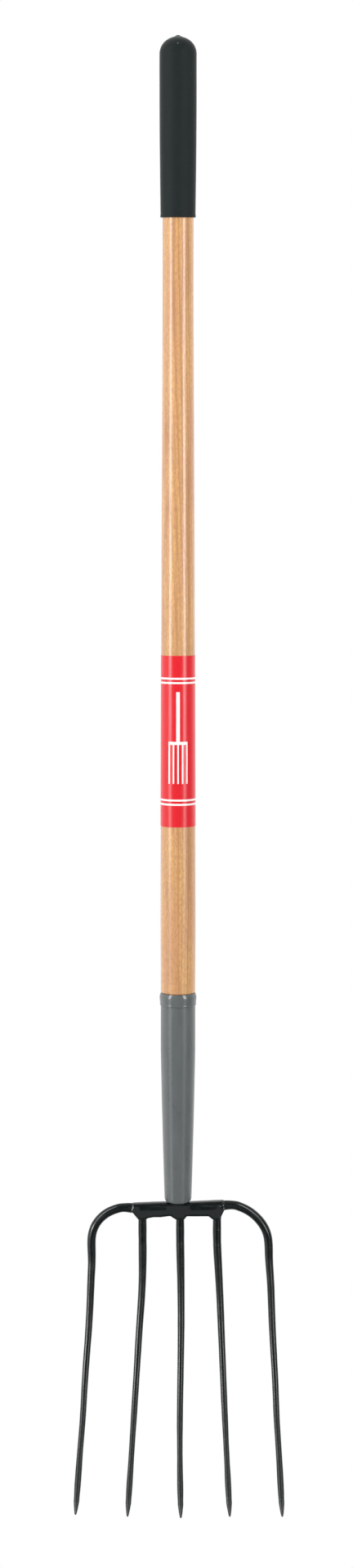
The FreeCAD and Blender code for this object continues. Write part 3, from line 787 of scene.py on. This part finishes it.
def ash_look():
    """Lacquered ash: slanting growth layers, each dark at one edge, and open pores in its dark part."""
    look = Look("ash_wood")
    parts = look.node("ShaderNodeSeparateXYZ", {"Vector": look.place}).outputs
    drift = look.noise(look.stretched(1.0, 0.07), 32.0, 2.0, 0.45)
    across = look.math("ADD", look.math("MULTIPLY", parts[0], 0.8), look.math("MULTIPLY", parts[1], 0.7))
    slanted = look.math("ADD", across, look.math("MULTIPLY", parts[2], 0.012))
    layer = look.math("MULTIPLY", look.math("ADD", slanted, look.math("MULTIPLY", drift, 0.02)), 270.0)
    ring = look.math("FRACT", layer)
    number = look.math("FLOOR", layer)
    strong = look.node("ShaderNodeTexWhiteNoise", {"W": number}, noise_dimensions="1D").outputs["Value"]
    early = look.remap(ring, 0.0, 0.45, 1.0, 0.0)
    line = look.remap(ring, 0.84, 0.97)
    dark = look.math("MAXIMUM", early, line)

    fibre = look.noise(look.stretched(1.0, 0.03), 900.0, 3.0, 0.6)
    streak = look.noise(look.stretched(1.0, 0.035), 190.0, 3.0, 0.55)
    blotch = look.noise(look.stretched(1.0, 0.12), 60.0, 2.0)
    fleck = look.noise(look.stretched(1.0, 0.4), 620.0, 3.0, 0.65)
    speck = look.noise(look.stretched(1.0, 0.12), 2600.0, 1.0)
    pore = look.math("MULTIPLY", look.remap(speck, 0.6, 0.68), look.remap(dark, 0.1, 0.9, 0.35, 1.0))

    colour = look.mix(look.remap(blotch, 0.35, 0.65), linear(232, 182, 115), linear(215, 161, 114))
    colour = look.mix(look.remap(streak, 0.5, 0.62, 0.0, 0.6), colour, linear(183, 130, 90))
    colour = look.mix(look.math("MULTIPLY", dark, look.remap(strong, 0.0, 1.0, 0.15, 0.75)),
                      colour, linear(177, 123, 76))
    colour = look.mix(look.remap(fibre, 0.4, 0.7, 0.0, 0.35), colour, linear(188, 134, 90))
    colour = look.mix(look.remap(fleck, 0.42, 0.66, 0.0, 0.62), colour, linear(184, 131, 90))
    colour = look.mix(look.math("MULTIPLY", pore, 0.65), colour, linear(136, 92, 60))

    look.set(Base_Color=colour, Roughness=look.remap(fibre, 0.3, 0.7, 0.36, 0.5), Specular_IOR_Level=0.45,
             Coat_Weight=1.0, Coat_Roughness=look.remap(fibre, 0.3, 0.7, 0.1, 0.2))
    strand = look.noise(look.stretched(1.0, 0.07), 480.0, 3.0, 0.6)
    relief = look.math("ADD", strand, look.math("MULTIPLY", fleck, 0.25))
    look.bump(look.math("SUBTRACT", relief, look.math("MULTIPLY", pore, 0.5)), 0.045 * MM)
    ridges = look.math("ADD", look.math("MULTIPLY", strand, 0.5), look.math("MULTIPLY", fleck, 0.4))
    look.bump(look.math("SUBTRACT", ridges, look.math("MULTIPLY", pore, 0.6)), 0.035 * MM, "Coat Normal")
    return look.material


def vinyl_look():
    """Dipped dark vinyl with a fine matt grain, and a painted highlight on the pimple by the vent."""
    look = Look("grip_vinyl")
    cloud = look.noise(look.place, 60.0, 3.0)
    grain = look.noise(look.place, 2600.0, 2.0)
    dust = look.remap(look.noise(look.place, 700.0, 2.0), 0.66, 0.8)
    colour = look.mix(look.remap(cloud, 0.3, 0.7), linear(21, 29, 29), linear(26, 34, 34))
    colour = look.mix(look.math("MULTIPLY", dust, 0.25), colour, linear(80, 84, 84))
    from_vent = look.node("ShaderNodeVectorMath", {0: look.place, 1: VENT}, operation="DISTANCE").outputs["Value"]
    # The lighter spot at the vent is a painted highlight: the glint that the small pimple there catches.
    wear_and_highlight = look.remap(from_vent, 0.5 * VENT_RADIUS, VENT_RADIUS, 1.0, 0.0)
    colour = look.mix(wear_and_highlight, colour, linear(105, 110, 110))
    look.set(Base_Color=colour, Roughness=look.remap(cloud, 0.3, 0.7, 0.62, 0.72), Specular_IOR_Level=0.2,
             Sheen_Weight=0.3, Sheen_Roughness=0.36)
    look.bump(grain, 0.05 * MM)
    return look.material


def box_mask(look, across, up, centre, half):
    """1 inside a rectangle on the label's unrolled face, 0 outside."""
    inside = []
    for given, at, reach in zip((across, up), centre, half):
        gap = look.math("ABSOLUTE", look.math("SUBTRACT", given, at))
        inside.append(look.math("LESS_THAN", gap, reach))
    return look.math("MULTIPLY", *inside)


def film_look():
    """Glossy red film printed with a plain white pictogram of a fork between two bands."""
    look = Look("label_film")
    parts = look.node("ShaderNodeSeparateXYZ", {"Vector": look.place}).outputs
    bearing = look.math("ARCTAN2", parts[0], look.math("MULTIPLY", parts[1], -1.0))
    across = look.math("MULTIPLY", bearing, 18.2 * MM)
    up = parts[2]
    centre = (label_low.z + label_high.z) / 2
    boxes = [((0.0, centre + 26 * MM), (1.9 * MM, 26 * MM))]
    boxes.append(((0.0, centre - 1.5 * MM), (10.4 * MM, 1.6 * MM)))
    for index in range(TINE_COUNT):
        place = (index - (TINE_COUNT - 1) / 2) * 4.8 * MM
        boxes.append(((place, centre - 22 * MM), (0.8 * MM, 22 * MM)))
    around = 2 * math.pi * 18.2 * MM
    for band in (-66.0, -61.5, 61.5, 66.0):
        boxes.append(((0.0, centre + band * MM), (around, 1.0 * MM)))
    ink = 0.0
    for place, half in boxes:
        ink = look.math("MAXIMUM", ink, box_mask(look, across, up, place, half))

    scuff = look.noise(look.stretched(1.0, 0.2), 420.0, 3.0)
    red = look.mix(look.remap(scuff, 0.55, 0.8, 0.0, 0.12), linear(224, 31, 43), linear(200, 34, 42))
    white = look.mix(look.remap(scuff, 0.6, 0.8, 0.0, 0.3), linear(246, 244, 243), linear(236, 190, 190))
    look.set(Base_Color=look.mix(ink, red, white), Roughness=look.remap(scuff, 0.3, 0.8, 0.3, 0.42),
             Specular_IOR_Level=0.3, Coat_Weight=0.65, Coat_Roughness=0.2)
    look.bump(look.noise(look.stretched(1.0, 0.3), 160.0, 2.0), 0.02 * MM)
    return look.material


def paint_look():
    """Grey stoved paint on the ferrule: faint orange peel, a few fine scratches."""
    look = Look("ferrule_paint")
    cloud = look.noise(look.stretched(1.0, 0.3), 90.0, 3.0)
    peel = look.noise(look.place, 900.0, 2.0)
    scratch = look.remap(look.noise(look.stretched(1.0, 0.05), 1800.0, 1.0), 0.72, 0.78)
    colour = look.mix(look.remap(cloud, 0.3, 0.7), linear(92, 97, 98), linear(100, 105, 106))
    colour = look.mix(look.math("MULTIPLY", scratch, 0.35), colour, linear(128, 131, 131))
    height = look.node("ShaderNodeSeparateXYZ", {"Vector": look.place}).outputs["Z"]
    satin = look.remap(cloud, 0.3, 0.7, 0.26, 0.32)
    collar = look.remap(height, ferrule_high.z - 16 * MM, ferrule_high.z - 12 * MM)
    look.set(Base_Color=colour, Roughness=look.math("SUBTRACT", satin, look.math("MULTIPLY", collar, 0.12)),
             Specular_IOR_Level=0.75)
    look.bump(peel, 0.012 * MM)
    return look.material


def enamel_look():
    """Black enamel over forged steel: thick, wet and pitted above, thin and rubbed dull below."""
    look = Look("head_enamel")
    height = look.node("ShaderNodeSeparateXYZ", {"Vector": look.place}).outputs["Z"]
    cloud = look.noise(look.place, 110.0, 3.0)
    level = look.math("ADD", height, look.math("MULTIPLY", cloud, 20 * MM))
    wear_and_highlight = look.remap(level, -195.0 * MM, -150.0 * MM, 1.0, 0.0)
    dulled = look.remap(level, -225.0 * MM, -185.0 * MM, 1.0, 0.0)
    pits = look.remap(look.noise(look.place, 1500.0, 2.0), 0.62, 0.75)
    colour = look.mix(look.remap(cloud, 0.35, 0.65), linear(9, 15, 15), linear(16, 22, 22))
    colour = look.mix(wear_and_highlight, colour, linear(23, 29, 29))
    worn_point = look.remap(height, head_low.z + 6 * MM, head_low.z + 22 * MM, 1.0, 0.0)
    colour = look.mix(look.math("MULTIPLY", worn_point, 0.6), colour, linear(64, 68, 68))
    gloss = look.remap(cloud, 0.3, 0.7, 0.13, 0.24)
    facing = look.node("ShaderNodeSeparateXYZ", {"Vector": look.facing}).outputs["Z"]
    dusty = look.math("MULTIPLY", look.remap(facing, 0.6, 0.95), 0.34)
    shine = look.math("SUBTRACT", look.remap(wear_and_highlight, 0.0, 1.0, 0.5, 0.4), dusty)
    look.set(Base_Color=colour, Roughness=look.math("ADD", gloss, look.math("MULTIPLY", dulled, 0.22)),
             Specular_IOR_Level=shine)
    beads = look.math("MULTIPLY", look.noise(look.place, 150.0, 1.0), look.remap(wear_and_highlight, 0.0, 1.0, 1.0, 0.3))
    look.bump(look.math("SUBTRACT", beads, look.math("MULTIPLY", pits, 0.03)), 0.05 * MM)
    return look.material


def steel_look():
    """Plain bright steel of the nail, a little dulled."""
    look = Look("nail_steel")
    cloud = look.noise(look.place, 900.0, 3.0)
    colour = look.mix(look.remap(cloud, 0.35, 0.7), linear(176, 176, 174), linear(138, 132, 126))
    look.set(Base_Color=colour, Metallic=1.0, Roughness=look.remap(cloud, 0.3, 0.7, 0.28, 0.5))
    look.bump(cloud, 0.05 * MM)
    return look.material


# ---------------------------------------------------------------- room, light and camera

def make_floor():
    """Plain pale floor under the points, which the camera sees as pure white."""
    half = 6.0
    mesh = bpy.data.meshes.new("floor")
    corners = [(-half, -half, 0), (half, -half, 0), (half, half, 0), (-half, half, 0)]
    mesh.from_pydata(corners, [], [(0, 1, 2, 3)])
    floor = bpy.data.objects.new("floor", mesh)
    floor.location.z = cad_low.z - 2 * MM
    bpy.context.scene.collection.objects.link(floor)
    look = Look("floor_white")
    nodes = look.tree.nodes
    seen = look.node("ShaderNodeLightPath").outputs["Is Camera Ray"]
    glow = look.node("ShaderNodeEmission", {"Color": (1, 1, 1, 1), "Strength": 1.0})
    look.set(Base_Color=(0.8, 0.8, 0.8, 1.0), Roughness=0.9)
    mix = look.node("ShaderNodeMixShader", {0: seen, 1: look.surface.outputs[0], 2: glow.outputs[0]})
    look.tree.links.new(mix.outputs[0], nodes["Material Output"].inputs["Surface"])
    mesh.materials.append(look.material)
    floor.visible_glossy = False
    floor.visible_shadow = False


def make_world():
    """White to the camera. For lighting, a pale room behind and a dim one in front, as in a studio
    with a white backdrop; it is a little brighter to the left and overhead."""
    world = bpy.data.worlds.new("studio")
    bpy.context.scene.world = world
    world.use_nodes = True
    nodes = world.node_tree.nodes
    links = world.node_tree.links
    place = nodes.new("ShaderNodeTexCoord")
    facing = nodes.new("ShaderNodeVectorMath")
    facing.operation = "DOT_PRODUCT"
    facing.inputs[1].default_value = (-0.24, 0.95, 0.2)
    fade = nodes.new("ShaderNodeMapRange")
    fade.interpolation_type = "SMOOTHSTEP"
    fade.inputs["From Min"].default_value = -0.5
    fade.inputs["From Max"].default_value = 0.4
    fade.inputs["To Min"].default_value = 0.1
    fade.inputs["To Max"].default_value = 1.0
    room = nodes["Background"]
    room.inputs["Color"].default_value = (1, 1, 1, 1)
    white = nodes.new("ShaderNodeBackground")
    white.inputs["Color"].default_value = (1, 1, 1, 1)
    white.inputs["Strength"].default_value = 1.0
    path = nodes.new("ShaderNodeLightPath")
    mix = nodes.new("ShaderNodeMixShader")
    links.new(place.outputs["Generated"], facing.inputs[0])
    links.new(facing.outputs["Value"], fade.inputs["Value"])
    links.new(fade.outputs[0], room.inputs["Strength"])
    links.new(path.outputs["Is Camera Ray"], mix.inputs[0])
    links.new(room.outputs[0], mix.inputs[1])
    links.new(white.outputs[0], mix.inputs[2])
    links.new(mix.outputs[0], nodes["World Output"].inputs["Surface"])


def add_strip(name, bearing, distance, low, high, width, radiance):
    """An upright softbox at a bearing in degrees from the front, right positive, facing the handle."""
    data = bpy.data.lights.new(name, "AREA")
    data.shape = "RECTANGLE"
    data.size = width
    data.size_y = high - low
    data.energy = radiance * math.pi * width * (high - low)
    turn = math.radians(bearing)
    strip = bpy.data.objects.new(name, data)
    strip.location = (distance * math.sin(turn), -distance * math.cos(turn), (low + high) / 2)
    strip.rotation_euler = (math.radians(90), 0, turn)
    strip.visible_camera = False
    bpy.context.scene.collection.objects.link(strip)
    return strip


def make_lights(head):
    """A tall softbox on each side of the front, built of stretches that dim towards the floor. The
    low lamps that the dish of the tines mirrors, and a wide dim card in front, are flagged off so
    that they reach only the head."""
    lit = bpy.data.collections.new("lit_by_low_lamps")
    lit.objects.link(head)
    ends = (-1.5, -0.3, -0.1, 0.1, 0.25, 0.4, 2.4)
    low_ends = (-0.5, -0.4, -0.3, -0.15, -0.05, 0.05)
    sides = (
        ("left", -54.0, 7.2, (0.2, 0.24, 0.28, 0.45, 0.7, 1.0), (4.0, 9.0, 17.0, 14.0, 7.0)),
        ("right", 44.5, 7.0, (0.1, 0.12, 0.16, 0.35, 0.65, 1.0), (2.2, 4.5, 8.0, 7.0, 3.5)),
    )
    for side, bearing, radiance, shares, low_radiances in sides:
        for low, high, share in zip(ends, ends[1:], shares):
            add_strip(f"softbox_{side}_{high}", bearing, 1.6, low, high, 0.48, radiance * share)
        for low, high, low_radiance in zip(low_ends, low_ends[1:], low_radiances):
            lamp = add_strip(f"low_lamp_{side}_{high}", bearing, 1.5, low, high, 0.45, low_radiance)
            lamp.light_linking.receiver_collection = lit
    card = add_strip("card", 0.0, 2.5, -1.0, -0.4, 3.0, 0.5)
    card.light_linking.receiver_collection = lit


def make_camera():
    """A long lens at the height of the handle's middle, tilted a little down."""
    data = bpy.data.cameras.new("camera")
    data.sensor_width = 36.0
    data.lens = 61.875
    data.clip_start = 0.1
    data.clip_end = 50.0
    camera = bpy.data.objects.new("camera", data)
    camera.location = (-1.6 * MM, -2823.0 * MM, 722.8 * MM)
    camera.rotation_euler = (math.radians(90 - 5.54), 0, 0)
    bpy.context.scene.collection.objects.link(camera)
    bpy.context.scene.camera = camera
    bpy.context.scene.view_settings.view_transform = "Standard"


# ---------------------------------------------------------------- build

for make_piece, make_look in (
    (make_end_grip, vinyl_look),
    (make_wood_handle, ash_look),
    (make_label, film_look),
    (make_ferrule, paint_look),
    (make_nail, steel_look),
    (make_fork_head, enamel_look),
):
    piece = make_piece()
    piece.data.materials.append(make_look())

make_floor()
make_world()
make_lights(piece)
make_camera()
